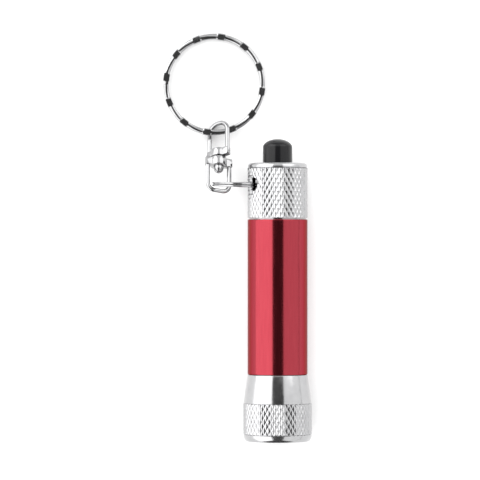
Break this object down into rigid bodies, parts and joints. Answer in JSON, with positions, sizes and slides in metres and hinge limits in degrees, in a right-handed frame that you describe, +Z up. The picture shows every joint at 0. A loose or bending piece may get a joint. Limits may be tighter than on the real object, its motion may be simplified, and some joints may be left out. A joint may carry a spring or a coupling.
{
  "type": "keychain flashlight",
  "caption": "Slim metal keychain torch with a tail push button, knurled screw-on head and tail cap, and a key ring on a riveted swivel.",
  "frame": {"origin": "on the surface the object lies on, under the middle of its bounding box", "axes": "+Z up; the torch lies along Y with its light towards -Y and its push button towards +Y; the key ring lies on the -X side beyond the button"},
  "size_m": [0.035, 0.0956, 0.016],
  "materials": {
    "red_anodised": "gloss",
    "bright_metal": "bright",
    "plated_steel": "polished",
    "button_black": "gloss",
    "black_plastic": "satin",
    "clear_sleeve": "gloss",
    "cell_steel": "satin",
    "reflector_chrome": "mirror",
    "led_epoxy": "clear",
    "circuit_board": "satin",
    "resistor_body": "matte",
    "brass_contact": "satin",
    "spring_steel": "satin",
    "black_rubber": "matte",
    "clear_lens": "clear"
  },
  "bodies": {
    "barrel": {"body_tube": "red_anodised", "battery_sleeve": "clear_sleeve", "battery_cell_1": "cell_steel", "battery_cell_2": "cell_steel", "battery_cell_3": "cell_steel", "battery_cell_4": "cell_steel"},
    "light_module": {"reflector": "reflector_chrome", "led_1": "led_epoxy", "led_2": "led_epoxy", "led_3": "led_epoxy", "led_board": "circuit_board", "contact_carrier": "black_plastic", "series_resistor": "resistor_body", "front_contact": "brass_contact", "front_spring": "spring_steel"},
    "head": {"head_shell": "bright_metal", "lens_ring": "bright_metal", "lens_seal": "black_rubber", "lens": "clear_lens", "head_o_ring": "black_rubber"},
    "switch_module": {"switch_housing": "black_plastic", "tail_contact": "brass_contact", "tail_spring": "spring_steel"},
    "tail_cap": {"tail_cap": "bright_metal", "tail_o_ring": "black_rubber", "retaining_ring": "brass_contact"},
    "button": {"push_button": "button_black", "plunger": "black_plastic", "moving_contact": "brass_contact", "return_spring": "spring_steel"},
    "small_ring": {"small_ring": "plated_steel"},
    "swivel_lower": {"swivel_lower": "plated_steel", "swivel_rivet": "plated_steel"},
    "swivel_upper": {"swivel_upper": "plated_steel"},
    "key_ring": {"key_ring": "plated_steel"}
  },
  "joints": [
    {"name": "head_travel", "type": "slide", "parent": "barrel", "child": "light_module", "axis": [0, -1, 0], "range_m": [0, 0.005]},
    {"name": "head_turn", "type": "hinge", "parent": "light_module", "child": "head", "pos_m": [0.00947, -0.0378, 0.008], "axis": [0, -1, 0], "range_deg": [0, 1800]},
    {"name": "cap_travel", "type": "slide", "parent": "barrel", "child": "switch_module", "axis": [0, 1, 0], "range_m": [0, 0.005]},
    {"name": "cap_turn", "type": "hinge", "parent": "switch_module", "child": "tail_cap", "pos_m": [0.00947, 0.0122, 0.008], "axis": [0, 1, 0], "range_deg": [0, 1800]},
    {"name": "button_press", "type": "slide", "parent": "switch_module", "child": "button", "axis": [0, -1, 0], "range_m": [0, 0.00145], "stiffness_N_per_m": 900, "springref_m": -0.001, "deforming": ["return_spring"]},
    {"name": "small_ring_swing", "type": "hinge", "parent": "tail_cap", "child": "small_ring", "pos_m": [0.00364, 0.0121, 0.008], "axis": [0, 0, 1], "range_deg": [-15, 15]},
    {"name": "swivel_swing", "type": "hinge", "parent": "small_ring", "child": "swivel_lower", "pos_m": [-0.00536, 0.01226, 0.008], "axis": [0, 0, 1], "range_deg": [-10, 75]},
    {"name": "swivel_spin", "type": "hinge", "parent": "swivel_lower", "child": "swivel_upper", "pos_m": [-0.00433, 0.01835, 0.00501], "axis": [0, 0.9135, -0.4067], "continuous": true},
    {"name": "key_ring_tilt", "type": "hinge", "parent": "swivel_upper", "child": "key_ring", "pos_m": [-0.00433, 0.02455, 0.00213], "axis": [1, 0, 0], "range_deg": [-50, 85]}
  ],
  "couplings": [
    {"joint": "head_turn", "follows": "head_travel", "rad_per_m": 6283.2},
    {"joint": "cap_turn", "follows": "cap_travel", "rad_per_m": 6283.2}
  ]
}
